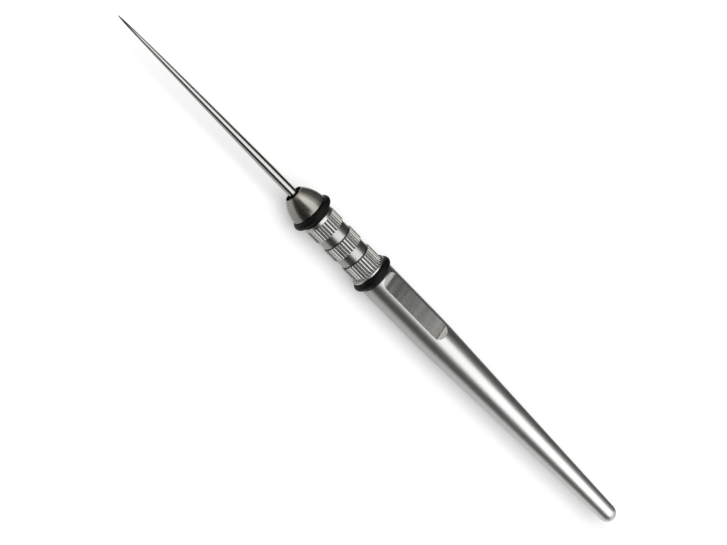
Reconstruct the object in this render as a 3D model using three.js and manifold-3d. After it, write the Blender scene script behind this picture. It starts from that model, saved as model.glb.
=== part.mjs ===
// Fly-tying dubbing needle: a slim turned tool with a polished needle, a screwed nose cap,
// a straight-knurled grip between two rubber rings, and a long tapered handle with a milled flat.
// Millimetres. The tool lies along X with its point towards -X and its flat facing +Z,
// and the origin is under its middle, on the surface that the two rings touch.
import * as THREE from "three";
import { mergeVertices } from "three/addons/utils/BufferGeometryUtils.js";
import Module from "manifold-3d";

const wasm = await Module();
wasm.setup();

// Handle: a plain cylinder, then a straight taper that ends in a round tail
const handleRadius = 3.45;
const handleCylinderLength = 15.7;
const handleTaperLength = 50;
const handleTailRadius = 1.75;
const handleTailLength = 1.95;
const handleBlendLength = 2.5; // the soft change from cylinder to taper, each way from the corner
const handleEdgeChamfer = 0.35;

// Milled flat on the handle, with the cutter's arc left at both ends
const flatDepth = 0.49;
const flatSetback = 0.45; // from the handle's shoulder to the front of the cut
const flatLength = 16.2;
const flatCutterRadius = 2.2;

// Rubber rings and the seats that they sit on
const ringSection = 1.5;
const ringSeatRadius = 2.6;
const ringSeatClearance = 0.05;
const ringSideClearance = 0.05;
const seatChamfer = 0.12;

// Knurled grip
const gripCollarRadius = 3.12;
const gripCollarLength = 1.05;
const gripCollarChamfer = 0.42;
const gripGrooveRadius = 2.92;
const gripGrooveLength = 2.1;
const gripReliefWidth = 0.2; // the slot that the parting tool left in front of a band
const gripReliefDepth = 0.25;
const knurlRadius = 3.18;
const knurlDepth = 0.23;
const knurlBandLength = 2.75;
const knurlBandCount = 3;
const knurlRidgeCount = 31;
const knurlCrestShare = 0.36; // how much of the pitch is the flat top of a ridge
const knurlEndChamfer = 0.05;
const gripFlareLength = 0.7;
const gripRimRadius = 3.58;
const gripRimLength = 0.3;
const gripEdgeChamfer = 0.1;

// Nose cap: a bulged cone with an open mouth that tapers inwards to the front
const noseRadius = 3.5;
const noseLength = 4.15;
const noseFrontRadius = 1.82;
const noseMouthRadius = 1.7;
const noseBulge = 0.34; // how far its side stands out from a straight cone's
const noseRearChamfer = 0.1;

// Needle, and the rubber bush round it that the nose cap squeezes on the spindle
const needleRadius = 0.725;
const needleExposedLength = 45.05;
const needleTaperLength = 38.7;
const needleShankDepth = 12; // how far the shank goes down the spindle's bore
const needleEndChamfer = 0.15;
const bushFrontRecess = 0.05; // how far the bush sits behind the mouth's edge

// Spindle: screwed into the handle, it carries the grip and takes the nose cap
const spindleRadius = 2;
const spindleSocketDepth = 9;
const spindleNoseLength = 2.2; // how far it reaches into the nose cap
const spindleEndChamfer = 0.3;
const spindleCentreDepth = 1.15; // the drill point left at the bottom of a blind hole

// Fits
const sleeveClearance = 0.05; // round anything that slides or screws into a bore
const faceClearance = 0.05; // between faces that meet end to end

// How finely round things are faceted
const turnedSides = 48;
const ringSides = 24;
const ringSectionSides = 14;
const needleSides = 24;
const taperSteps = 14;
const flareSteps = 3;

// Places along the axis, from the handle's shoulder towards the point
const ringRoom = ringSection + 2 * ringSideClearance;
const knurlPartLength = knurlBandCount * knurlBandLength + (knurlBandCount - 1) * gripGrooveLength;
const gripLength = gripCollarLength + knurlPartLength + gripFlareLength + gripRimLength;
const gripRear = ringRoom;
const gripFront = gripRear + gripLength;
const noseRear = gripFront + ringRoom;
const noseFront = noseRear + noseLength;
const needleTip = noseFront + needleExposedLength;
const spindleFront = noseRear + spindleNoseLength;
const spindleRear = gripRear - faceClearance - spindleSocketDepth;
const bushRear = spindleFront + faceClearance;
const bushFront = noseFront - bushFrontRecess;
const shankEnd = spindleFront - needleShankDepth;
const taperRear = -handleCylinderLength - handleTaperLength;
const tailEnd = taperRear - handleTailLength;
const taperSlope = Math.atan((handleRadius - handleTailRadius) / handleTaperLength);

// Bores, each the size of what goes in it
const spindleBoreRadius = spindleRadius + sleeveClearance;
const needleBoreRadius = needleRadius + sleeveClearance;

const ringOuterRadius = ringSeatRadius + ringSeatClearance + ringSection;

const polishedChrome = { color: 0xd2d3d1, metalness: 1, roughness: 0.12 };
const satinChrome = { color: 0xc0c1bd, metalness: 1, roughness: 0.28 };
const satinSteel = { color: 0x9a998f, metalness: 1, roughness: 0.36 };
const polishedSteel = { color: 0xcfcfcc, metalness: 1, roughness: 0.1 };
const nitrileRubber = { color: 0x141615, metalness: 0, roughness: 0.5 };

function place(radius, at) {
  return new THREE.Vector2(radius, at);
}

// Points of an arc, from one angle to another, about a centre given as radius and place
function arc(centreRadius, centreAt, size, from, to, steps) {
  const points = [];
  for (let i = 0; i <= steps; i++) {
    const angle = from + ((to - from) * i) / steps;
    points.push(place(centreRadius + size * Math.cos(angle), centreAt + size * Math.sin(angle)));
  }
  return points;
}

// A profile turned about the axis, with a facet rather than a corner facing down
function turned(points, sides) {
  return new THREE.LatheGeometry(points, sides, Math.PI / sides);
}

function closedProfile(points) {
  return [...points, points[0].clone()];
}

function solidOf(geometry) {
  geometry.deleteAttribute("normal");
  geometry.deleteAttribute("uv");
  const merged = mergeVertices(geometry, 1e-4);
  const mesh = new wasm.Mesh({
    numProp: 3,
    vertProperties: merged.attributes.position.array,
    triVerts: new Uint32Array(merged.index.array),
  });
  return new wasm.Manifold(mesh);
}

function geometryOf(solid) {
  const mesh = solid.getMesh();
  const geometry = new THREE.BufferGeometry();
  geometry.setAttribute("position", new THREE.BufferAttribute(mesh.vertProperties, 3));
  geometry.setIndex(new THREE.BufferAttribute(mesh.triVerts, 1));
  geometry.computeVertexNormals();
  return geometry;
}

function handleBlank() {
  const blendDrop = handleBlendLength * Math.tan(taperSlope);
  const blendMiddleDrop = blendDrop / 4;
  // the tail rounds off in half an ellipse
  const tail = arc(0, 0, 1, -Math.PI / 2, 0, 8).map((point) =>
    place(point.x * handleTailRadius, taperRear + point.y * handleTailLength),
  );
  const points = [
    place(0, tailEnd),
    ...tail.slice(1),
    place(handleRadius - blendDrop, -handleCylinderLength - handleBlendLength),
    place(handleRadius - blendMiddleDrop, -handleCylinderLength),
    place(handleRadius, -handleCylinderLength + handleBlendLength),
    place(handleRadius, -handleEdgeChamfer),
    place(handleRadius - handleEdgeChamfer, 0),
    place(ringSeatRadius, 0),
    place(ringSeatRadius, gripRear - faceClearance - seatChamfer),
    place(ringSeatRadius - seatChamfer, gripRear - faceClearance),
    place(spindleBoreRadius, gripRear - faceClearance),
    place(spindleBoreRadius, spindleRear - faceClearance),
    place(0, spindleRear - faceClearance - spindleCentreDepth),
  ];
  return turned(points, turnedSides);
}

// The metal that the cutter takes off: level over the flat, curving up at each end
function flatCut() {
  const floor = handleRadius - flatDepth;
  const top = handleRadius + flatDepth;
  const front = -flatSetback;
  const rear = front - flatLength;
  const riseLength = Math.sqrt(2 * flatCutterRadius * flatDepth - flatDepth ** 2);
  const riseAngle = Math.acos(1 - flatDepth / flatCutterRadius);
  const cutterHeight = floor + flatCutterRadius;
  const down = -Math.PI / 2;
  const side = new THREE.Shape();
  side.moveTo(rear + riseLength, floor);
  side.lineTo(front - riseLength, floor);
  side.absarc(front - riseLength, cutterHeight, flatCutterRadius, down, down + riseAngle);
  side.lineTo(front, top);
  side.lineTo(rear, top);
  side.absarc(rear + riseLength, cutterHeight, flatCutterRadius, down - riseAngle, down);
  const width = 2 * handleRadius;
  const cut = new THREE.ExtrudeGeometry(side, {
    depth: width,
    bevelEnabled: false,
    curveSegments: 6,
  });
  // the outline was drawn along X and up Y: stand it along the tool's axis, with up towards Z
  const alongAxis = new THREE.Vector3(0, 1, 0);
  const up = new THREE.Vector3(0, 0, 1);
  const across = new THREE.Vector3(1, 0, 0);
  cut.translate(0, 0, -width / 2);
  cut.applyMatrix4(new THREE.Matrix4().makeBasis(alongAxis, up, across));
  return cut;
}

function handle() {
  return geometryOf(solidOf(handleBlank()).subtract(solidOf(flatCut())));
}

function rubberRing(groovePlace) {
  const centreRadius = ringSeatRadius + ringSeatClearance + ringSection / 2;
  const middle = groovePlace + ringRoom / 2;
  const points = arc(centreRadius, middle, ringSection / 2, 0, 2 * Math.PI, ringSectionSides);
  points[points.length - 1] = points[0].clone();
  return turned(points, ringSides);
}

// Places round the grip, for each ridge one at the root before it and one at each side of its crest
function knurlSides() {
  const sides = [];
  const pitch = (2 * Math.PI) / knurlRidgeCount;
  for (let ridge = 0; ridge < knurlRidgeCount; ridge++) {
    const start = ridge * pitch;
    sides.push({ angle: start, isRoot: true });
    sides.push({ angle: start + (pitch * (1 - knurlCrestShare)) / 2, isRoot: false });
    sides.push({ angle: start + (pitch * (1 + knurlCrestShare)) / 2, isRoot: false });
  }
  return sides;
}

// The grip's section, from its rear face round to its bore. Where it is knurled, a place has
// the radius at the roots beside the radius at the crests.
function gripSection() {
  const section = [];
  const turn = (radius, at, rootRadius = radius) => section.push({ radius, at, rootRadius });
  turn(spindleBoreRadius, gripRear);
  turn(gripRimRadius - gripEdgeChamfer, gripRear);
  turn(gripRimRadius, gripRear + gripEdgeChamfer);
  let at = gripRear + gripRimLength;
  turn(gripRimRadius, at);
  // the flare hollows down from the rim to the ridges, and their roots run out up it
  for (let step = 1; step <= flareSteps; step++) {
    const share = step / flareSteps;
    const radius = knurlRadius + (gripRimRadius - knurlRadius) * (1 - share) ** 2;
    turn(radius, at + gripFlareLength * share, radius - knurlDepth * share);
  }
  at += gripFlareLength;
  const rootRadius = knurlRadius - knurlDepth;
  for (let band = 0; band < knurlBandCount; band++) {
    if (band > 0) {
      turn(gripGrooveRadius, at);
      turn(knurlRadius - knurlEndChamfer, at, rootRadius);
      turn(knurlRadius, at + knurlEndChamfer, rootRadius);
    }
    at += knurlBandLength;
    turn(knurlRadius, at - knurlEndChamfer, rootRadius);
    turn(knurlRadius - knurlEndChamfer, at, rootRadius);
    if (band < knurlBandCount - 1) {
      turn(gripGrooveRadius - gripReliefDepth, at);
      turn(gripGrooveRadius - gripReliefDepth, at + gripReliefWidth);
      turn(gripGrooveRadius, at + gripReliefWidth);
      at += gripGrooveLength;
    }
  }
  turn(gripCollarRadius, at);
  turn(gripCollarRadius, gripFront - gripCollarChamfer);
  turn(gripCollarRadius - gripCollarChamfer, gripFront);
  turn(ringSeatRadius, gripFront);
  turn(ringSeatRadius, noseRear - faceClearance - seatChamfer);
  turn(ringSeatRadius - seatChamfer, noseRear - faceClearance);
  turn(spindleBoreRadius, noseRear - faceClearance);
  return section;
}

// Lofts the grip's section round the axis, one ring of points to each place on the section
function grip() {
  const section = gripSection();
  const sides = knurlSides();
  const positions = [];
  for (const ring of section) {
    for (const side of sides) {
      const radius = side.isRoot ? ring.rootRadius : ring.radius;
      positions.push(radius * Math.sin(side.angle), ring.at, radius * Math.cos(side.angle));
    }
  }
  const corner = (ring, side) =>
    (ring % section.length) * sides.length + (side % sides.length);
  const index = [];
  for (let ring = 0; ring < section.length; ring++) {
    for (let side = 0; side < sides.length; side++) {
      const near = corner(ring, side);
      const next = corner(ring, side + 1);
      const above = corner(ring + 1, side);
      const aboveNext = corner(ring + 1, side + 1);
      index.push(near, next, above, aboveNext, above, next);
    }
  }
  const geometry = new THREE.BufferGeometry();
  geometry.setAttribute("position", new THREE.Float32BufferAttribute(positions, 3));
  geometry.setIndex(index);
  geometry.computeVertexNormals();
  return geometry;
}

// The cone inside the nose cap, from the end of its thread to its mouth
function mouthRadiusAt(at) {
  const share = (noseFront - at) / (noseFront - bushRear);
  return noseMouthRadius + (spindleBoreRadius - noseMouthRadius) * share;
}

function noseCap() {
  // its side is an arc over the straight cone from its rear edge to its front one
  const drop = noseRadius - noseFrontRadius;
  const run = noseLength - noseRearChamfer;
  const chord = Math.hypot(run, drop);
  const sideRadius = (chord ** 2 / 4 + noseBulge ** 2) / (2 * noseBulge);
  const coneAngle = Math.atan2(drop, run);
  const halfAngle = Math.asin(chord / 2 / sideRadius);
  const centreDepth = sideRadius - noseBulge; // from the middle of the straight cone's side
  const centreRadius = (noseRadius + noseFrontRadius) / 2 - centreDepth * Math.cos(coneAngle);
  const centreAt = noseFront - run / 2 - centreDepth * Math.sin(coneAngle);
  const from = coneAngle - halfAngle;
  const to = coneAngle + halfAngle;
  const points = [
    place(spindleBoreRadius, noseRear),
    place(noseRadius - noseRearChamfer, noseRear),
    ...arc(centreRadius, centreAt, sideRadius, from, to, 10),
    place(mouthRadiusAt(noseFront), noseFront),
    place(mouthRadiusAt(bushRear), bushRear),
  ];
  return turned(closedProfile(points), turnedSides);
}

// A long ground taper: the radius grows as the square root of the distance from the point
function needle() {
  const points = [
    place(0, shankEnd),
    place(needleRadius - needleEndChamfer, shankEnd),
    place(needleRadius, shankEnd + needleEndChamfer),
  ];
  for (let i = taperSteps; i >= 0; i--) {
    const share = i / taperSteps;
    points.push(place(needleRadius * share, needleTip - needleTaperLength * share ** 2));
  }
  return turned(points, needleSides);
}

function needleBush() {
  const points = [
    place(needleBoreRadius, bushRear),
    place(mouthRadiusAt(bushRear) - sleeveClearance, bushRear),
    place(mouthRadiusAt(bushFront) - sleeveClearance, bushFront),
    place(needleBoreRadius, bushFront),
  ];
  return turned(closedProfile(points), turnedSides);
}

function spindle() {
  const boreEnd = shankEnd - faceClearance;
  const points = [
    place(0, spindleRear),
    place(spindleRadius - spindleEndChamfer, spindleRear),
    place(spindleRadius, spindleRear + spindleEndChamfer),
    place(spindleRadius, spindleFront - spindleEndChamfer),
    place(spindleRadius - spindleEndChamfer, spindleFront),
    place(needleBoreRadius, spindleFront),
    place(needleBoreRadius, boreEnd),
    place(0, boreEnd - needleBoreRadius / 2),
  ];
  return turned(points, turnedSides);
}

const tool = new THREE.Group();

function add(name, geometry, finish) {
  const mesh = new THREE.Mesh(geometry, new THREE.MeshStandardMaterial(finish));
  mesh.name = name;
  tool.add(mesh);
}

add("handle", handle(), polishedChrome);
add("spindle", spindle(), polishedSteel);
add("rear_o_ring", rubberRing(0), nitrileRubber);
add("grip", grip(), satinChrome);
add("front_o_ring", rubberRing(gripFront), nitrileRubber);
add("nose_cap", noseCap(), satinSteel);
add("needle_bush", needleBush(), nitrileRubber);
add("needle", needle(), polishedSteel);

// Lay the tool down, point towards -X, with the rings' lowest facets on the surface
tool.rotation.z = Math.PI / 2;
tool.position.x = (needleTip + tailEnd) / 2;
tool.position.z = ringOuterRadius * Math.cos(Math.PI / ringSides);

const part = new THREE.Group();
part.add(tool);
export default part;
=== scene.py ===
import math

import bpy
from mathutils import Matrix, Vector


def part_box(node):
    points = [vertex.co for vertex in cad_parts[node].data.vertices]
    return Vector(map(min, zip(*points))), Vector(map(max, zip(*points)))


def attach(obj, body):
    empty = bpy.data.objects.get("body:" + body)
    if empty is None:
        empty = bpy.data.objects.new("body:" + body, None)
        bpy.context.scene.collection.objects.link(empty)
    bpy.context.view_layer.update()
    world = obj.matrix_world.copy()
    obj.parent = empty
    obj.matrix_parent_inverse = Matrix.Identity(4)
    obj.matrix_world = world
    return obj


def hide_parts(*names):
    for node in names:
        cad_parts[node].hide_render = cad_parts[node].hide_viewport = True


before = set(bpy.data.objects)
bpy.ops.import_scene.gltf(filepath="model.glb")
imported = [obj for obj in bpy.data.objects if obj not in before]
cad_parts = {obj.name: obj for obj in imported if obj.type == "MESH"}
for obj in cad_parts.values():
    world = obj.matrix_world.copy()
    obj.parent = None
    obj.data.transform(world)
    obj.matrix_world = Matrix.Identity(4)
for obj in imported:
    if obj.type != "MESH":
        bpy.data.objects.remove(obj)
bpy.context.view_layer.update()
print("frame loaded")

mm = 0.001
weld = 0.0005 * mm   # vertices closer than this are one
waveBands = 3.183    # a wave texture of scale 1 draws this many bands in one unit

# where the pieces meet, read from the frame: the tool lies along X with its point towards -X
rearRingLow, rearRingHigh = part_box("rear_o_ring")
frontRingLow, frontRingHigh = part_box("front_o_ring")
ringRoom = 1.6 * mm  # the gap that each ring sits in
axisHeight = (rearRingLow.z + rearRingHigh.z) / 2
shoulderX = (rearRingLow.x + rearRingHigh.x) / 2 + ringRoom / 2  # the handle's front face
gripRearX = shoulderX - ringRoom
noseRearX = (frontRingLow.x + frontRingHigh.x) / 2 - ringRoom / 2
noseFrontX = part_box("nose_cap")[0].x
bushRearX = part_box("needle_bush")[1].x
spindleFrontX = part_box("spindle")[0].x
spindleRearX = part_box("spindle")[1].x
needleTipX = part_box("needle")[0].x
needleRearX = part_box("needle")[1].x
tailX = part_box("handle")[1].x


# hex colours are sRGB, as a picture shows them, and the shader wants linear
def linearColour(hexColour):
    channels = []
    for start in (1, 3, 5):
        value = int(hexColour[start:start + 2], 16) / 255
        channels.append(value / 12.92 if value <= 0.04045 else ((value + 0.055) / 1.055) ** 2.4)
    return (*channels, 1)


# settings are the node's own or its sockets' values, and links lead from another node's output
def addNode(material, kind, settings=None, links=None):
    node = material.node_tree.nodes.new(kind)
    for name, value in (settings or {}).items():
        if hasattr(node, name) and not isinstance(name, int):
            setattr(node, name, value)
        else:
            node.inputs[name].default_value = value
    for socket, source in (links or {}).items():
        material.node_tree.links.new(source, node.inputs[socket])
    return node


# a new material: its output, shader and Object coordinates, ready for a pattern
def newMaterial(name, shaderSettings):
    material = bpy.data.materials.new(name)
    material.use_nodes = True
    material.node_tree.nodes.clear()
    shader = addNode(material, "ShaderNodeBsdfPrincipled", shaderSettings)
    addNode(material, "ShaderNodeOutputMaterial", links={"Surface": shader.outputs["BSDF"]})
    place = addNode(material, "ShaderNodeTexCoord").outputs["Object"]
    return material, shader, place


def linkInput(material, source, socket):
    material.node_tree.links.new(source, socket)


# an outline drawn from corner to corner above the axis
# each corner is (mm from the datum towards the point, mm of radius)
def drawOutline(name, datumX, outline):
    bpy.ops.object.select_all(action="DESELECT")
    forward, radius = outline[0]
    start = (datumX - forward * mm, 0, axisHeight + radius * mm)
    bpy.ops.mesh.primitive_plane_add(size=mm, location=start)
    bpy.ops.object.transform_apply(location=True, rotation=True, scale=True)
    piece = bpy.context.object
    piece.name = piece.data.name = name
    bpy.ops.object.mode_set(mode="EDIT")
    bpy.ops.mesh.merge(type="CENTER")
    for nextForward, nextRadius in outline[1:]:
        move = ((forward - nextForward) * mm, 0, (nextRadius - radius) * mm)
        bpy.ops.mesh.extrude_region_move(TRANSFORM_OT_translate={"value": move})
        forward, radius = nextForward, nextRadius
    return piece


def turnOutline(steps):
    bpy.ops.mesh.select_all(action="SELECT")
    bpy.ops.mesh.remove_doubles(threshold=weld)
    bpy.ops.mesh.spin(steps=steps, angle=math.tau, center=(0, 0, axisHeight), axis=(1, 0, 0))
    bpy.ops.mesh.select_all(action="SELECT")
    bpy.ops.mesh.remove_doubles(threshold=weld)
    bpy.ops.mesh.normals_make_consistent(inside=False)
    bpy.ops.object.mode_set(mode="OBJECT")


def turnedPiece(name, datumX, outline, steps):
    piece = drawOutline(name, datumX, outline)
    turnOutline(steps)
    return piece


# points on an arc: centre and size in mm, angles in degrees from "outwards" towards the point
def arcPoints(centreForward, centreRadius, size, fromAngle, toAngle, steps):
    points = []
    for step in range(steps + 1):
        angle = math.radians(fromAngle + (toAngle - fromAngle) * step / steps)
        points.append((centreForward + size * math.sin(angle), centreRadius + size * math.cos(angle)))
    return points


# opens a piece for editing with only these vertices selected
def editVertices(piece, chosen):
    bpy.ops.object.select_all(action="DESELECT")
    piece.select_set(True)
    bpy.context.view_layer.objects.active = piece
    bpy.ops.object.mode_set(mode="EDIT")
    bpy.ops.mesh.select_all(action="DESELECT")
    bpy.ops.object.mode_set(mode="OBJECT")
    for index in chosen:
        piece.data.vertices[index].select = True
    bpy.ops.object.mode_set(mode="EDIT")


def applyModifier(piece, kind, settings):
    bpy.ops.object.select_all(action="DESELECT")
    piece.select_set(True)
    bpy.context.view_layer.objects.active = piece
    bpy.ops.object.modifier_add(type=kind)
    modifier = piece.modifiers[-1]
    for name, value in settings.items():
        setattr(modifier, name, value)
    bpy.ops.object.modifier_apply(modifier=modifier.name)


def smoothPiece(piece, angle):
    bpy.ops.object.select_all(action="DESELECT")
    piece.select_set(True)
    bpy.context.view_layer.objects.active = piece
    bpy.ops.object.shade_smooth_by_angle(angle=math.radians(angle))


# hands a finished piece its material, and says where it belongs
def finishPiece(piece, materials, body, node):
    for material in materials:
        piece.data.materials.append(material)
    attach(piece, body)
    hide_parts(node)
    print("made", piece.name, len(piece.data.polygons), "faces")


# handle

handle = {
    "radius": 3.45,
    "cylinder": 15.7,       # length of the plain part behind the shoulder
    "taper": 50.0,
    "tailRadius": 1.75,
    "tailLength": 1.95,     # the tail is half an ellipse
    "blend": 2.5,           # each way from where cylinder and taper meet
    "chamfer": 0.35,        # on the shoulder's edge
    "edge": 0.08,           # how much every sharp edge is rounded
    "spigotRadius": 2.55,   # what the rear ring sits on
    "spigotGap": 0.1,       # between the spigot's end and the grip
    "boreRadius": 2.05,
    "boreDepth": 7.5,
    "drillPoint": 1,        # the cone at the bore's end
    "sides": 160,
    "tailSteps": 20,
    "blendSteps": 10,
    "smoothUnder": 14,      # edges flatter than this many degrees are shaded smooth
    "bevelOver": 16,        # and those sharper than this are rounded
}
flat = {
    "depth": 0.49,
    "front": -0.45,         # from the shoulder
    "rear": -16.65,
    "cutter": 2.2,          # radius that the cutter left at each end
    "rampSteps": 14,
    # how the faces that the cutter left are told from the rest, by their normal and their height
    "mostSideways": 0.02,
    "leastUp": 0.6,
    "floorUp": 0.999,       # more upright than this is the flat's floor, and less is a run-out
    "slackBelow": 0.05,
    "slackAbove": 0.02,
}


# polished chrome plate: a bright mirror softened by the buffing, so a lamp's edge is a little blurred
def polishedChrome():
    look = {
        "shadedShoulderHex": "#a0a19f",
        "litTailHex": "#c5c6c4",
        "roughness": 0.37,
        "unevenness": 0.03,  # how far the roughness wanders each way
        "patch": 6,
        "buffLine": 0.12,    # drawn wide enough to show
        "stretch": 0.02,     # the lines' scale along the tool, as a share of that across it
    }
    material, shader, place = newMaterial("polishedChrome", {"Metallic": 1, "Roughness": look["roughness"]})
    # painted shade by the shoulder, brightening to painted light towards the tail
    axes = addNode(material, "ShaderNodeSeparateXYZ", links={"Vector": place})
    along = addNode(material, "ShaderNodeMapRange", {"From Min": shoulderX, "From Max": tailX}, {
        "Value": axes.outputs["X"],
    })
    colour = addNode(material, "ShaderNodeMix", {"data_type": "RGBA"}, {0: along.outputs["Result"]})
    colour.inputs[6].default_value = linearColour(look["shadedShoulderHex"])
    colour.inputs[7].default_value = linearColour(look["litTailHex"])
    linkInput(material, colour.outputs[2], shader.inputs["Base Color"])
    # buffing lines run along the tool, each about a tenth of a millimetre wide
    line = look["buffLine"] * mm
    stretched = addNode(material, "ShaderNodeMapping", {
        "Scale": (look["stretch"] / line, 1 / line, 1 / line),
    }, {"Vector": place})
    buffing = addNode(material, "ShaderNodeTexNoise", {"Scale": 1, "Detail": 3}, {
        "Vector": stretched.outputs[0],
    })
    bump = addNode(material, "ShaderNodeBump", {"Strength": 0.06, "Distance": 0.01 * mm}, {
        "Height": buffing.outputs["Fac"],
    })
    linkInput(material, bump.outputs["Normal"], shader.inputs["Normal"])
    # soft patches where it was buffed more
    patches = addNode(material, "ShaderNodeTexNoise", {"Scale": 1 / (look["patch"] * mm), "Detail": 2}, {
        "Vector": place,
    })
    level = addNode(material, "ShaderNodeMapRange", {
        "To Min": look["roughness"] - look["unevenness"],
        "To Max": look["roughness"] + look["unevenness"],
    }, {"Value": patches.outputs["Fac"]})
    linkInput(material, level.outputs["Result"], shader.inputs["Roughness"])
    return material


# the milled flat: the same plate over a cutter's fine marks, streaked across, and darkened as painted shade
def milledChrome():
    look = {
        "paintedFrontHex": "#7a7e7c",
        "paintedRearHex": "#cfceca",
        "frontPaintedShade": -0.55,  # added to the streaks, from the dark colour to the pale one
        "rearPaintedLight": 0.35,
        "roughness": 0.24,
        "streak": 1.6,
        "stretch": 0.15,     # the streaks' scale across the tool, as a share of that along it
    }
    material, shader, place = newMaterial("milledChrome", {"Metallic": 1, "Roughness": look["roughness"]})
    # streaks across the flat, where the cutter dwelt, over painted shade at the front that turns to painted
    # light in a paler rear half
    streak = look["streak"] * mm
    stretched = addNode(material, "ShaderNodeMapping", {
        "Scale": (1 / streak, look["stretch"] / streak, 0),
    }, {"Vector": place})
    streaks = addNode(material, "ShaderNodeTexNoise", {"Scale": 1, "Detail": 2}, {
        "Vector": stretched.outputs[0],
    })
    axes = addNode(material, "ShaderNodeSeparateXYZ", links={"Vector": place})
    along = addNode(material, "ShaderNodeMapRange", {
        "From Min": shoulderX - flat["front"] * mm,
        "From Max": shoulderX - flat["rear"] * mm,
        "To Min": look["frontPaintedShade"],
        "To Max": look["rearPaintedLight"],
    }, {"Value": axes.outputs["X"]})
    tone = addNode(material, "ShaderNodeMath", {"operation": "ADD", "use_clamp": True}, {
        0: streaks.outputs["Fac"],
        1: along.outputs["Result"],
    })
    colour = addNode(material, "ShaderNodeMix", {"data_type": "RGBA"}, {0: tone.outputs[0]})
    colour.inputs[6].default_value = linearColour(look["paintedFrontHex"])
    colour.inputs[7].default_value = linearColour(look["paintedRearHex"])
    linkInput(material, colour.outputs[2], shader.inputs["Base Color"])
    return material


# the run-outs at its two ends: painted light makes them brighter than the flat and paler at the front than at
# the rear, and they are rippled where the cutter lifted
def runOutChrome():
    look = {
        "paintedFrontHex": "#c6c7c4",
        "paintedRearHex": "#a3a19a",
        "rippleHex": "#6f6e69",
        "rippleShare": 0.5,  # how much of the ripples' own colour shows in them
        "ripple": 0.42,
        "roughness": 0.24,
    }
    material, shader, place = newMaterial("runOutChrome", {"Metallic": 1, "Roughness": look["roughness"]})
    axes = addNode(material, "ShaderNodeSeparateXYZ", links={"Vector": place})
    along = addNode(material, "ShaderNodeMapRange", {
        "From Min": shoulderX - flat["front"] * mm,
        "From Max": shoulderX - flat["rear"] * mm,
    }, {"Value": axes.outputs["X"]})
    # painted light: pale on the front run-out, darker on the rear one
    plate = addNode(material, "ShaderNodeMix", {"data_type": "RGBA"}, {0: along.outputs["Result"]})
    plate.inputs[6].default_value = linearColour(look["paintedFrontHex"])
    plate.inputs[7].default_value = linearColour(look["paintedRearHex"])
    ripples = addNode(material, "ShaderNodeTexWave", {
        "wave_type": "BANDS",
        "bands_direction": "X",
        "Scale": 1 / (look["ripple"] * mm) / waveBands,
        "Distortion": 0.5,
    }, {"Vector": place})
    level = addNode(material, "ShaderNodeMapRange", {"To Max": look["rippleShare"]}, {
        "Value": ripples.outputs["Fac"],
    })
    colour = addNode(material, "ShaderNodeMix", {"data_type": "RGBA"}, {
        0: level.outputs["Result"],
        6: plate.outputs[2],
    })
    colour.inputs[7].default_value = linearColour(look["rippleHex"])
    linkInput(material, colour.outputs[2], shader.inputs["Base Color"])
    return material


def makeHandle():
    slope = math.atan((handle["radius"] - handle["tailRadius"]) / handle["taper"])
    taperRear = -handle["cylinder"] - handle["taper"]
    outline = []
    for forward, radius in arcPoints(0, 0, 1, -90, 0, handle["tailSteps"]):
        outline.append((taperRear + forward * handle["tailLength"], radius * handle["tailRadius"]))
    for step in range(handle["blendSteps"] + 1):
        back = 2 * handle["blend"] * (1 - step / handle["blendSteps"])
        drop = math.tan(slope) * back ** 2 / (4 * handle["blend"])
        outline.append((-handle["cylinder"] + handle["blend"] - back, handle["radius"] - drop))
    spigotFront = ringRoom / mm - handle["spigotGap"]
    outline += [
        (-handle["chamfer"], handle["radius"]),
        (0, handle["radius"] - handle["chamfer"]),
        (0, handle["spigotRadius"]),
        (spigotFront, handle["spigotRadius"]),
        (spigotFront, handle["boreRadius"]),
        (-handle["boreDepth"], handle["boreRadius"]),
        (-handle["boreDepth"] - handle["drillPoint"], 0),
    ]
    return turnedPiece("handle_turned", shoulderX, outline, handle["sides"])


# the cutter: its outline along the tool, drawn over the flat and pulled across the handle
def makeCutter():
    floorRadius = handle["radius"] - flat["depth"]
    top = handle["radius"] + flat["depth"]
    size = flat["cutter"]
    reach = math.sqrt(2 * size * flat["depth"] - flat["depth"] ** 2)
    rise = math.degrees(math.asin(reach / size))
    steps = flat["rampSteps"]
    frontRamp = arcPoints(flat["front"] - reach, floorRadius + size, size, 180 - rise, 180, steps)
    rearRamp = arcPoints(flat["rear"] + reach, floorRadius + size, size, 180, 180 + rise, steps)
    outline = [(flat["front"], top)] + frontRamp + rearRamp + [(flat["rear"], top)]
    cutter = drawOutline("flat_cutter", shoulderX, outline + outline[:1])
    bpy.ops.mesh.select_all(action="SELECT")
    bpy.ops.mesh.remove_doubles(threshold=weld)
    bpy.ops.mesh.edge_face_add()
    width = 2 * handle["radius"] * mm
    bpy.ops.transform.translate(value=(0, -width / 2, 0))
    bpy.ops.mesh.extrude_region_move(TRANSFORM_OT_translate={"value": (0, width, 0)})
    bpy.ops.mesh.select_all(action="SELECT")
    bpy.ops.mesh.normals_make_consistent(inside=False)
    bpy.ops.object.mode_set(mode="OBJECT")
    return cutter


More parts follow.
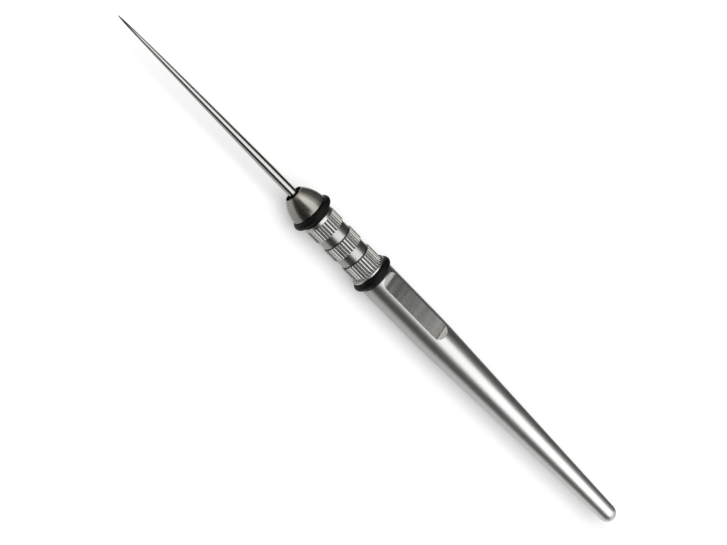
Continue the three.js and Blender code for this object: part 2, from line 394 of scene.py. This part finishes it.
def addHandle():
    piece = makeHandle()
    cutter = makeCutter()
    applyModifier(piece, "BOOLEAN", {"operation": "DIFFERENCE", "solver": "EXACT", "object": cutter})
    bpy.data.objects.remove(cutter)
    smoothPiece(piece, handle["smoothUnder"])
    applyModifier(piece, "BEVEL", {
        "width": handle["edge"] * mm,
        "segments": 2,
        "limit_method": "ANGLE",
        "angle_limit": math.radians(handle["bevelOver"]),
        "harden_normals": True,
    })
    finishes = [polishedChrome(), milledChrome(), runOutChrome()]
    finishPiece(piece, finishes, "handle_body", "handle")
    # the faces that the cutter left are level across the tool, and lie inside the handle's round
    handleTop = axisHeight + handle["radius"] * mm
    flatTop = handleTop - flat["depth"] * mm
    lowest = flatTop - flat["slackBelow"] * mm
    highest = handleTop - flat["slackAbove"] * mm
    flatFrontX = shoulderX - flat["front"] * mm
    flatRearX = shoulderX - flat["rear"] * mm
    for face in piece.data.polygons:
        isLevel = abs(face.normal.y) < flat["mostSideways"] and face.normal.z > flat["leastUp"]
        isBetween = flatFrontX < face.center.x < flatRearX
        if isLevel and isBetween and lowest < face.center.z < highest:
            face.material_index = 1 if face.normal.z > flat["floorUp"] else 2


addHandle()


# rubber rings

ring = {
    "section": 1.5,
    "outerRadius": 4.11,
    "seatSquash": 0.03,   # how far the inside is flattened where it grips its seat
    "flash": 0.012,       # the mould's parting line stands proud by this much
    "flashFoot": 0.03,    # half its width where it leaves the ring
    "flashCrest": 0.015,
    "sides": 144,
    "sectionSides": 32,
    "smoothUnder": 40,
}


# moulded nitrile rubber: near black, a dull sheen, the mould's fine grain on it
def nitrileRubber():
    look = {
        "hex": "#070808",
        "roughness": 0.42,
        "sleekest": 0.38,
        "dullest": 0.56,
        "patch": 1.3,
        "grain": 0.09,
    }
    material, shader, place = newMaterial("nitrileRubber", {
        "Base Color": linearColour(look["hex"]),
        "Roughness": look["roughness"],
        "IOR": 1.5,
        "Specular IOR Level": 0.1,
    })
    grain = addNode(material, "ShaderNodeTexNoise", {"Scale": 1 / (look["grain"] * mm), "Detail": 4}, {
        "Vector": place,
    })
    bump = addNode(material, "ShaderNodeBump", {"Strength": 0.25, "Distance": 0.01 * mm}, {
        "Height": grain.outputs["Fac"],
    })
    linkInput(material, bump.outputs["Normal"], shader.inputs["Normal"])
    # handling leaves the sheen uneven
    sheen = addNode(material, "ShaderNodeTexNoise", {"Scale": 1 / (look["patch"] * mm), "Detail": 3}, {
        "Vector": place,
    })
    level = addNode(material, "ShaderNodeMapRange", {"To Min": look["sleekest"], "To Max": look["dullest"]}, {
        "Value": sheen.outputs["Fac"],
    })
    linkInput(material, level.outputs["Result"], shader.inputs["Roughness"])
    return material


def addRing(name, node, ringX, rubber):
    half = ring["section"] / 2
    centreRadius = ring["outerRadius"] - ring["flash"] - half
    outline = []
    for step in range(ring["sectionSides"]):
        angle = math.tau * (step + 0.5) / ring["sectionSides"]
        across = half * math.sin(angle)
        out = half * math.cos(angle)
        outline.append((across, centreRadius + max(out, ring["seatSquash"] - half)))
    # the parting line runs round the outside, between the first corner and the last
    flashRoot = centreRadius + half
    flashTop = flashRoot + ring["flash"]
    outline += [
        (-ring["flashFoot"], flashRoot),
        (-ring["flashCrest"], flashTop),
        (ring["flashCrest"], flashTop),
        (ring["flashFoot"], flashRoot),
    ]
    piece = turnedPiece(name, ringX, outline + outline[:1], ring["sides"])
    smoothPiece(piece, ring["smoothUnder"])
    finishPiece(piece, [rubber], "handle_body", node)


rubber = nitrileRubber()
addRing("rear_ring_rubber", "rear_o_ring", shoulderX - ringRoom / 2, rubber)
addRing("front_ring_rubber", "front_o_ring", noseRearX + ringRoom / 2, rubber)


# knurled grip

grip = {
    "collarRadius": 3.12,
    "collarLength": 1.05,
    "grooveRadius": 2.92,
    "grooveLength": 2.1,
    "groovePaintedShade": 0.42,  # painted shade in the grooves: 0 is the clean plate and 1 the darkest shade
    "flarePaintedShade": 0.7,
    "collarPaintedShade": 0.3,   # painted shadow of the front ring on the collar's edge, before its chamfer
    "knurlRadius": 3.18,
    "knurlDepth": 0.23,
    "bandLength": 2.75,
    "bands": 3,
    "ridges": 31,
    "bandEdge": 0.05,
    "reliefWidth": 0.2,      # the slot that the parting tool left in front of a band
    "reliefDepth": 0.25,
    "collarChamfer": 0.42,
    "flareLength": 0.7,      # where the last band widens to the rim
    "flareSteps": 8,
    "rimRadius": 3.58,
    "rimLength": 0.3,
    "edge": 0.08,
    "spigotRadius": 2.6,
    "spigotGap": 0.05,       # between the spigot's end and the nose cap
    "boreRadius": 2.05,
    "rowSlack": 0.004,       # a vertex this close to a row of the outline belongs to it
    "smoothUnder": 24,
    # depth of the cut round one ridge, from its root over the crest and back, as a share of the full depth
    "ridgeShape": (1, 0.92, 0.6, 0.24, 0.06, 0.01, 0, 0.01, 0.06, 0.24, 0.6, 0.92),
}


# satin chrome over cut brass: grey-white on the crests, with painted shade in the ridges' roots, the grooves,
# the slots, the flare and by the front ring
def satinChrome():
    look = {"hex": "#a8a9a5", "paintedShadeHex": "#6a6b68", "roughness": 0.31, "grain": 0.07}
    material, shader, place = newMaterial("satinChrome", {
        "Base Color": linearColour(look["hex"]),
        "Metallic": 1,
        "Roughness": look["roughness"],
    })
    # painted shade read from the points darkens the plate towards the shade colour
    paintedShade = addNode(material, "ShaderNodeAttribute", {"attribute_name": "paintedShade"})
    colour = addNode(material, "ShaderNodeMix", {"data_type": "RGBA"}, {0: paintedShade.outputs["Fac"]})
    colour.inputs[6].default_value = linearColour(look["hex"])
    colour.inputs[7].default_value = linearColour(look["paintedShadeHex"])
    linkInput(material, colour.outputs[2], shader.inputs["Base Color"])
    grain = addNode(material, "ShaderNodeTexNoise", {"Scale": 1 / (look["grain"] * mm), "Detail": 3}, {
        "Vector": place,
    })
    bump = addNode(material, "ShaderNodeBump", {"Strength": 0.2, "Distance": 0.006 * mm}, {
        "Height": grain.outputs["Fac"],
    })
    linkInput(material, bump.outputs["Normal"], shader.inputs["Normal"])
    return material


# the grip's outline from its rear face to its bore:
# where, how far out, how much of the ridges' depth is cut there, and how much painted shade the plate gets
def gripRows():
    rows = [
        (0, grip["boreRadius"], 0, 0),
        (0, grip["rimRadius"] - grip["edge"], 0, 0),
        (grip["edge"], grip["rimRadius"], 0, 0),
        (grip["rimLength"], grip["rimRadius"], 0, 0),
    ]
    # the flare hollows down from the rim to the ridges, and their roots run out up it; it gets painted shade
    # too
    for step in range(1, grip["flareSteps"] + 1):
        share = step / grip["flareSteps"]
        flareAt = grip["rimLength"] + grip["flareLength"] * share
        radius = grip["knurlRadius"] + (grip["rimRadius"] - grip["knurlRadius"]) * (1 - share) ** 2
        cut = 1 - (1 - share) ** 2
        rows.append((flareAt, radius, cut, grip["flarePaintedShade"] * (1 - share)))
    reliefRadius = grip["grooveRadius"] - grip["reliefDepth"]
    at = grip["rimLength"] + grip["flareLength"]
    for band in range(grip["bands"]):
        if band > 0:
            rows += [
                (at, grip["grooveRadius"], 0, grip["groovePaintedShade"]),
                (at, grip["knurlRadius"] - grip["bandEdge"], 1, 0),
                (at + grip["bandEdge"], grip["knurlRadius"], 1, 0),
            ]
        at += grip["bandLength"]
        rows += [
            (at - grip["bandEdge"], grip["knurlRadius"], 1, 0),
            (at, grip["knurlRadius"] - grip["bandEdge"], 1, 0),
        ]
        if band < grip["bands"] - 1:
            # the slot in front of the next band is painted with full shade
            rows += [
                (at, reliefRadius, 0, 1),
                (at + grip["reliefWidth"], reliefRadius, 0, 1),
                (at + grip["reliefWidth"], grip["grooveRadius"], 0, grip["groovePaintedShade"]),
            ]
            at += grip["grooveLength"]
    collarFront = at + grip["collarLength"]
    spigotFront = collarFront + ringRoom / mm - grip["spigotGap"]
    rows += [
        (at, grip["collarRadius"], 0, 0),
        # the collar's chamfer takes painted shadow of the front ring
        (collarFront - grip["collarChamfer"], grip["collarRadius"], 0, grip["collarPaintedShade"]),
        (collarFront, grip["collarRadius"] - grip["collarChamfer"], 0, 1),
        (collarFront, grip["spigotRadius"], 0, 1),
        (spigotFront, grip["spigotRadius"], 0, 0),
        (spigotFront, grip["boreRadius"], 0, 0),
    ]
    return rows


# which vertices to press in, grouped by their radius and their share of the full depth,
# and how much painted shade each one gets
def readRows(piece, rows, sides):
    samples = len(grip["ridgeShape"])
    slack = grip["rowSlack"]
    groups = {}
    paintedShade = {}
    for vertex in piece.data.vertices:
        up = vertex.co.z - axisHeight
        at = (gripRearX - vertex.co.x) / mm
        radius = math.hypot(vertex.co.y, up) / mm
        for rowAt, rowRadius, share, rowPaintedShade in rows:
            if abs(at - rowAt) < slack and abs(radius - rowRadius) < slack:
                phase = round(math.atan2(vertex.co.y, up) / math.tau * sides) % samples
                cut = share * grip["ridgeShape"][phase]
                groups.setdefault((rowRadius, cut), []).append(vertex.index)
                # painted shade: the roots get as much as they are cut, other rows their own
                paintedShade[vertex.index] = max(cut, rowPaintedShade)
    return groups, paintedShade


def addGrip():
    rows = gripRows()
    outline = [row[:2] for row in rows]
    sides = grip["ridges"] * len(grip["ridgeShape"])
    piece = turnedPiece("knurled_grip", gripRearX, outline + outline[:1], sides)
    groups, paintedShade = readRows(piece, rows, sides)
    for (radius, cut), members in groups.items():
        if cut == 0:
            continue
        left = 1 - grip["knurlDepth"] * cut / radius
        editVertices(piece, members)
        bpy.ops.transform.resize(value=(1, left, left), center_override=(0, 0, axisHeight))
        bpy.ops.object.mode_set(mode="OBJECT")
    # the painted shade is kept on the points, for the plate's colour to darken by
    paintedShadeLayer = piece.data.attributes.new("paintedShade", "FLOAT", "POINT")
    for index, value in paintedShade.items():
        paintedShadeLayer.data[index].value = value
    smoothPiece(piece, grip["smoothUnder"])
    finishPiece(piece, [satinChrome()], "handle_body", "grip")


addGrip()


# nose cap

nose = {
    "radius": 3.5,
    "length": (noseRearX - noseFrontX) / mm,
    "frontRadius": 1.82,
    "mouthRadius": 1.7,
    "bulge": 0.34,          # how far the cone's side stands out from a straight one
    "boreRadius": 2.05,
    "rearEdge": 0.1,
    "sides": 160,
    "bulgeSteps": 28,
    "smoothUnder": 30,
}


# satin steel, turned and left from the tool: warm grey, with fine rings round it, and painted shade towards
# the ring
def satinSteel():
    look = {
        "paintedMouthHex": "#8c8a82",
        "paintedRearHex": "#777570",
        "roughness": 0.26,
        "unevenness": 0.04,
        "patch": 0.8,
        "ringPitch": 0.11,
    }
    material, shader, place = newMaterial("satinSteel", {"Metallic": 1, "Roughness": look["roughness"]})
    # painted light by the mouth, turning to painted shade by the ring
    axes = addNode(material, "ShaderNodeSeparateXYZ", links={"Vector": place})
    along = addNode(material, "ShaderNodeMapRange", {"From Min": noseFrontX, "From Max": noseRearX}, {
        "Value": axes.outputs["X"],
    })
    colour = addNode(material, "ShaderNodeMix", {"data_type": "RGBA"}, {0: along.outputs["Result"]})
    colour.inputs[6].default_value = linearColour(look["paintedMouthHex"])
    colour.inputs[7].default_value = linearColour(look["paintedRearHex"])
    linkInput(material, colour.outputs[2], shader.inputs["Base Color"])
    rings = addNode(material, "ShaderNodeTexWave", {
        "wave_type": "BANDS",
        "bands_direction": "X",
        "Scale": 1 / (look["ringPitch"] * mm) / waveBands,
        "Distortion": 0.4,
        "Detail": 2,
    }, {"Vector": place})
    bump = addNode(material, "ShaderNodeBump", {"Strength": 0.3, "Distance": 0.004 * mm}, {
        "Height": rings.outputs["Fac"],
    })
    linkInput(material, bump.outputs["Normal"], shader.inputs["Normal"])
    patches = addNode(material, "ShaderNodeTexNoise", {"Scale": 1 / (look["patch"] * mm), "Detail": 4}, {
        "Vector": place,
    })
    level = addNode(material, "ShaderNodeMapRange", {
        "To Min": look["roughness"] - look["unevenness"],
        "To Max": look["roughness"] + look["unevenness"],
    }, {"Value": patches.outputs["Fac"]})
    linkInput(material, level.outputs["Result"], shader.inputs["Roughness"])
    return material


def addNose():
    drop = nose["radius"] - nose["frontRadius"]
    length = nose["length"] - nose["rearEdge"]
    chord = math.hypot(length, drop)
    # the bulged side is part of a circle: its radius, and how far inside the straight side its centre is
    size = (chord ** 2 / 4 + nose["bulge"] ** 2) / (2 * nose["bulge"])
    inside = size - nose["bulge"]
    lean = math.atan2(drop, length)
    middle = math.degrees(lean)
    half = math.degrees(math.asin(chord / 2 / size))
    centreForward = nose["rearEdge"] + length / 2 - inside * math.sin(lean)
    centreRadius = (nose["radius"] + nose["frontRadius"]) / 2 - inside * math.cos(lean)
    bushRear = (noseRearX - bushRearX) / mm
    outline = [(0, nose["boreRadius"]), (0, nose["radius"] - nose["rearEdge"])]
    outline += arcPoints(centreForward, centreRadius, size, middle - half, middle + half, nose["bulgeSteps"])
    outline += [
        (nose["length"], nose["mouthRadius"]),
        (bushRear, nose["boreRadius"]),
    ]
    piece = turnedPiece("nose_cap_turned", noseRearX, outline + outline[:1], nose["sides"])
    smoothPiece(piece, nose["smoothUnder"])
    finishPiece(piece, [satinSteel()], "nose_body", "nose_cap")


addNose()


# needle, and the rubber bush that it comes out of

needle = {
    "radius": 0.88,         # a little thicker than the frame's needle, as the photograph shows
    "taper": 38.7,
    "pointRadius": 0.02,
    "rearChamfer": 0.15,
    "taperSteps": 40,
    "sides": 72,
    "smoothUnder": 40,
}
bush = {
    "frontRadius": 1.66,
    "frontSwell": 0.01,     # behind the front edge, where the mouth squeezes it
    "rearRadius": 1.99,
    "boreRadius": 0.915,    # just clear of the needle
    "recess": 0.35,         # how far it sits inside the mouth
    "edge": 0.06,
    "sides": 96,
    "smoothUnder": 50,
}


# stainless wire, ground to its taper and polished: a sharp mirror, with hair lines along it
def polishedStainless():
    look = {
        "hex": "#989895",
        "pointHex": "#30302e",
        "dullLength": 6,     # the first quarter of it is as dull as the point
        "dullQuarter": 0.25,
        "roughness": 0.2,
        "hairLine": 0.05,
        "stretch": 0.03,     # the lines' scale along the needle, as a share of that across it
    }
    material, shader, place = newMaterial("polishedStainless", {
        "Base Color": linearColour(look["hex"]),
        "Metallic": 1,
        "Roughness": look["roughness"],
    })
    line = look["hairLine"] * mm
    stretched = addNode(material, "ShaderNodeMapping", {
        "Scale": (look["stretch"] / line, 1 / line, 1 / line),
    }, {"Vector": place})
    lines = addNode(material, "ShaderNodeTexNoise", {"Scale": 1, "Detail": 3}, {
        "Vector": stretched.outputs[0],
    })
    bump = addNode(material, "ShaderNodeBump", {"Strength": 0.08, "Distance": 0.004 * mm}, {
        "Height": lines.outputs["Fac"],
    })
    linkInput(material, bump.outputs["Normal"], shader.inputs["Normal"])
    # the point itself is left grey by the grinding
    axes = addNode(material, "ShaderNodeSeparateXYZ", links={"Vector": place})
    shine = addNode(material, "ShaderNodeMapRange", {
        "interpolation_type": "SMOOTHSTEP",
        "From Min": needleTipX + look["dullQuarter"] * look["dullLength"] * mm,
        "From Max": needleTipX + look["dullLength"] * mm,
    }, {"Value": axes.outputs["X"]})
    colour = addNode(material, "ShaderNodeMix", {"data_type": "RGBA"}, {0: shine.outputs["Result"]})
    colour.inputs[6].default_value = linearColour(look["pointHex"])
    colour.inputs[7].default_value = linearColour(look["hex"])
    linkInput(material, colour.outputs[2], shader.inputs["Base Color"])
    return material


def addNeedle():
    length = (needleRearX - needleTipX) / mm
    outline = [
        (0, 0),
        (0, needle["radius"] - needle["rearChamfer"]),
        (needle["rearChamfer"], needle["radius"]),
    ]
    # ground so that the radius falls as the square root of the distance from the point
    for step in range(needle["taperSteps"], -1, -1):
        share = step / needle["taperSteps"]
        radius = max(needle["radius"] * share, needle["pointRadius"])
        outline.append((length - needle["taper"] * share ** 2, radius))
    outline[-1] = (length, 0)
    outline.insert(-1, (length - needle["pointRadius"], needle["pointRadius"]))
    piece = turnedPiece("ground_needle", needleRearX, outline, needle["sides"])
    smoothPiece(piece, needle["smoothUnder"])
    finishPiece(piece, [polishedStainless()], "needle_body", "needle")


def addBush():
    front = (bushRearX - noseFrontX) / mm - bush["recess"]
    outline = [
        (0, bush["boreRadius"]),
        (0, bush["rearRadius"]),
        (front - bush["edge"], bush["frontRadius"] + bush["frontSwell"]),
        (front, bush["frontRadius"] - bush["edge"]),
        (front, bush["boreRadius"] + bush["edge"]),
        (front - bush["edge"], bush["boreRadius"]),
    ]
    piece = turnedPiece("bush_rubber", bushRearX, outline + outline[:1], bush["sides"])
    smoothPiece(piece, bush["smoothUnder"])
    finishPiece(piece, [rubber], "needle_body", "needle_bush")


addNeedle()
addBush()


# spindle: a plain turned rod with a thread at each end

spindle = {
    "coreRadius": 1.6,
    "threadRadius": 1.98,
    "pitch": 0.7,
    "crest": 0.09,
    "root": 0.1,
    "toothSunk": 0.05,      # how deep a tooth's foot stands in the core
    "plainRadius": 2.0,
    "frontThread": 4.2,
    "rearThread": 8.4,
    "boreRadius": 0.93,
    "boreDepth": 12.05,
    "drillPoint": 0.4,
    "chamfer": 0.3,
    "sides": 72,
    "smoothUnder": 30,
}


# plain turned steel, bright where the thread was cut
def turnedSteel():
    look = {"hex": "#b9b9b6", "roughness": 0.28, "cutPitch": 0.09}
    material, shader, place = newMaterial("turnedSteel", {
        "Base Color": linearColour(look["hex"]),
        "Metallic": 1,
        "Roughness": look["roughness"],
    })
    cuts = addNode(material, "ShaderNodeTexWave", {
        "wave_type": "BANDS",
        "bands_direction": "X",
        "Scale": 1 / (look["cutPitch"] * mm) / waveBands,
        "Distortion": 0.6,
    }, {"Vector": place})
    bump = addNode(material, "ShaderNodeBump", {"Strength": 0.25, "Distance": 0.004 * mm}, {
        "Height": cuts.outputs["Fac"],
    })
    linkInput(material, bump.outputs["Normal"], shader.inputs["Normal"])
    return material


# one tooth's section, swept round the rod by the screw modifier and closed at both ends
def addThread(name, rearX, length):
    sunk = spindle["coreRadius"] - spindle["toothSunk"]
    half = (spindle["pitch"] - spindle["root"]) / 2
    outline = [
        (-half, sunk),
        (-half, spindle["coreRadius"]),
        (-spindle["crest"] / 2, spindle["threadRadius"]),
        (spindle["crest"] / 2, spindle["threadRadius"]),
        (half, spindle["coreRadius"]),
        (half, sunk),
    ]
    turns = (length - 2 * half) / spindle["pitch"]
    piece = drawOutline(name, rearX - half * mm, outline + outline[:1])
    bpy.ops.mesh.select_all(action="SELECT")
    bpy.ops.mesh.remove_doubles(threshold=weld)
    bpy.ops.mesh.edge_face_add()
    bpy.ops.mesh.select_all(action="SELECT")
    # the modifier turns about the object's own axis, so the tooth is brought down to it and put back after
    bpy.ops.transform.translate(value=(0, 0, -axisHeight))
    bpy.ops.object.mode_set(mode="OBJECT")
    applyModifier(piece, "SCREW", {
        "axis": "X",
        "angle": math.tau * turns,
        "screw_offset": -spindle["pitch"] * mm * turns,
        "iterations": 1,
        "steps": round(spindle["sides"] * turns),
        "render_steps": round(spindle["sides"] * turns),
        "use_merge_vertices": False,
    })
    bpy.ops.object.mode_set(mode="EDIT")
    bpy.ops.mesh.select_all(action="SELECT")
    bpy.ops.transform.translate(value=(0, 0, axisHeight))
    bpy.ops.mesh.remove_doubles(threshold=weld)
    bpy.ops.mesh.normals_make_consistent(inside=False)
    bpy.ops.object.mode_set(mode="OBJECT")
    return piece


def addSpindle():
    length = (spindleRearX - spindleFrontX) / mm
    rearPlain = spindle["rearThread"]
    frontPlain = length - spindle["frontThread"]
    outline = [
        (0, 0),
        (0, spindle["coreRadius"]),
        (rearPlain, spindle["coreRadius"]),
        (rearPlain + spindle["chamfer"], spindle["plainRadius"]),
        (frontPlain - spindle["chamfer"], spindle["plainRadius"]),
        (frontPlain, spindle["coreRadius"]),
        (length, spindle["coreRadius"]),
        (length, spindle["boreRadius"]),
        (length - spindle["boreDepth"], spindle["boreRadius"]),
        (length - spindle["boreDepth"] - spindle["drillPoint"], 0),
    ]
    rod = turnedPiece("threaded_spindle", spindleRearX, outline, spindle["sides"])
    threads = [
        addThread("rear_thread", spindleRearX, spindle["rearThread"]),
        addThread("front_thread", spindleFrontX + spindle["frontThread"] * mm, spindle["frontThread"]),
    ]
    bpy.ops.object.select_all(action="DESELECT")
    for thread in threads:
        thread.select_set(True)
    rod.select_set(True)
    bpy.context.view_layer.objects.active = rod
    bpy.ops.object.join()
    smoothPiece(rod, spindle["smoothUnder"])
    finishPiece(rod, [turnedSteel()], "handle_body", "spindle")


addSpindle()


# floor, lamp and camera

stage = {
    "floorSize": 3.0,
    "floorHex": "#cfcfcf",
    "floorLift": 0.3,          # added for the camera, so the floor shows as white and keeps its shadow
    "worldLight": 0.5,         # what the world gives the object
    "worldShown": 1,           # how white it shows to the camera and in reflections
    "flagHex": "#434341",
    "greyHex": "#8c8c8a",
    # standing: middle along and across the tool, length and height
    "nearFlag": (0, -0.5, 2.4, 0.545),
    "farFlag": (0.2, 0.31, 0.32, 0.85),
    "greyCard": (-0.58, 0.33, 1.24, 0.3),
    # lying: place, then length and width
    "nearCloth": ((0, -0.26, 0.0003), (2.4, 0.482)),
    "farCloth": ((0, 0.172, 0.0003), (2.4, 0.316)),
    "cameraCard": ((-0.44, -0.414, 0.53), (0.92, 0.442)),
    "lampHeight": 0.8,
    "lampLean": 9.4,           # degrees off the vertical, towards the viewer's side
    "lampPlace": -0.15,        # along the tool, past the point
    "lampLength": 2.0,
    "lampWidth": 1.06,
    "lampPower": 10.6,
}


# a plain white floor: it shows a little brighter to the eye than it is lit, and is clear from below
def floorPaint():
    material, shader = newMaterial("floorPaint", {
        "Base Color": linearColour(stage["floorHex"]),
        "Roughness": 0.9,
        "Specular IOR Level": 0.1,
    })[:2]
    rays = addNode(material, "ShaderNodeLightPath")
    seen = addNode(material, "ShaderNodeMath", {"operation": "ADD", "use_clamp": True}, {
        0: rays.outputs["Is Camera Ray"],
        1: rays.outputs["Is Glossy Ray"],
    })
    seenThrough = addNode(material, "ShaderNodeMath", {"operation": "ADD", "use_clamp": True}, {
        0: seen.outputs[0],
        1: rays.outputs["Is Transmission Ray"],
    })
    lift = addNode(material, "ShaderNodeMath", {"operation": "MULTIPLY"}, {0: seenThrough.outputs[0]})
    lift.inputs[1].default_value = stage["floorLift"]
    glow = addNode(material, "ShaderNodeEmission", links={"Strength": lift.outputs[0]})
    both = addNode(material, "ShaderNodeAddShader", links={0: shader.outputs[0], 1: glow.outputs[0]})
    clear = addNode(material, "ShaderNodeBsdfTransparent")
    side = addNode(material, "ShaderNodeNewGeometry")
    mixed = addNode(material, "ShaderNodeMixShader", links={
        0: side.outputs["Backfacing"],
        1: both.outputs[0],
        2: clear.outputs[0],
    })
    output = next(node for node in material.node_tree.nodes if node.type == "OUTPUT_MATERIAL")
    linkInput(material, mixed.outputs[0], output.inputs["Surface"])
    return material


def addFloor():
    bpy.ops.object.select_all(action="DESELECT")
    bpy.ops.mesh.primitive_plane_add(size=stage["floorSize"], location=(0, 0, 0))
    floor = bpy.context.object
    floor.name = "floor"
    floor.data.materials.append(floorPaint())
    return floor


floor = addFloor()
print("made the floor")


def addLamp():
    tilt = math.radians(stage["lampLean"])
    bpy.ops.object.light_add(type="AREA", location=(
        stage["lampPlace"],
        -stage["lampHeight"] * math.sin(tilt),
        stage["lampHeight"] * math.cos(tilt),
    ))
    lamp = bpy.context.object
    lamp.name = "soft_box"
    lamp.rotation_euler = (tilt, 0, 0)
    lamp.data.shape = "RECTANGLE"
    lamp.data.size = stage["lampLength"]
    lamp.data.size_y = stage["lampWidth"]
    lamp.data.energy = stage["lampPower"]
    lamp.visible_camera = False


addLamp()


# what shiny metal needs beside the lamp, and only reflections show: dark flags along both sides,
# dark cloths on the floor, a grey card past the point, and a dark card where the camera stands
def addFlag(name, cloth, place, size, tilt):
    bpy.ops.object.select_all(action="DESELECT")
    bpy.ops.mesh.primitive_plane_add(size=1, location=place, rotation=(tilt, 0, 0))
    flag = bpy.context.object
    flag.name = name
    flag.scale = (*size, 1)
    flag.visible_camera = False
    flag.visible_diffuse = False
    flag.visible_shadow = False
    flag.data.materials.append(cloth)


flagCloth = newMaterial("flagCloth", {"Base Color": linearColour(stage["flagHex"]), "Roughness": 1})[0]
greyPaper = newMaterial("greyPaper", {"Base Color": linearColour(stage["greyHex"]), "Roughness": 1})[0]
for flagName, cloth in (("nearFlag", flagCloth), ("farFlag", flagCloth), ("greyCard", greyPaper)):
    along, across, length, height = stage[flagName]
    addFlag(flagName, cloth, (along, across, height / 2), (length, height), math.pi / 2)
for flagName in ("cameraCard", "nearCloth", "farCloth"):
    addFlag(flagName, flagCloth, *stage[flagName], 0)


def addWorld():
    world = bpy.data.worlds.new("studio")
    bpy.context.scene.world = world
    world.use_nodes = True
    nodes, links = world.node_tree.nodes, world.node_tree.links
    background = nodes["Background"]
    rays = nodes.new("ShaderNodeLightPath")
    seen = nodes.new("ShaderNodeMath")
    seen.operation = "MAXIMUM"
    links.new(rays.outputs["Is Camera Ray"], seen.inputs[0])
    links.new(rays.outputs["Is Glossy Ray"], seen.inputs[1])
    seenThrough = nodes.new("ShaderNodeMath")
    seenThrough.operation = "MAXIMUM"
    links.new(seen.outputs[0], seenThrough.inputs[0])
    links.new(rays.outputs["Is Transmission Ray"], seenThrough.inputs[1])
    strength = nodes.new("ShaderNodeMapRange")
    strength.inputs["To Min"].default_value = stage["worldLight"]
    strength.inputs["To Max"].default_value = stage["worldShown"]
    links.new(seenThrough.outputs[0], strength.inputs["Value"])
    links.new(strength.outputs["Result"], background.inputs["Strength"])
    background.inputs["Color"].default_value = (1, 1, 1, 1)


addWorld()

view = {
    "direction": (-0.342, -0.456, 0.822),  # from the tool towards the camera
    "toolSlant": 45.46,                    # degrees that the tool runs down to the right on the picture
    "distance": 520 * mm,
    "shiftRight": -1.514 * mm,
    "shiftUp": 0.21 * mm,
    "lens": 143.85,
}


def addCamera():
    back = Vector(view["direction"]).normalized()
    along = Vector((1, 0, 0))
    onPicture = (along - back * along.dot(back)).normalized()
    right = Matrix.Rotation(math.radians(view["toolSlant"]), 3, back) @ onPicture
    up = back.cross(right)
    target = Vector((shoulderX - ringRoom / 2, 0, axisHeight))
    bpy.ops.object.camera_add()
    camera = bpy.context.object
    camera.name = "camera"
    camera.data.lens = view["lens"]
    camera.data.clip_start = 0.01
    place = target + back * view["distance"] + right * view["shiftRight"] + up * view["shiftUp"]
    turn = Matrix((right, up, back)).transposed().to_4x4()
    camera.matrix_world = Matrix.Translation(place) @ turn
    bpy.context.scene.camera = camera


addCamera()

bpy.context.scene.view_settings.view_transform = "Standard"
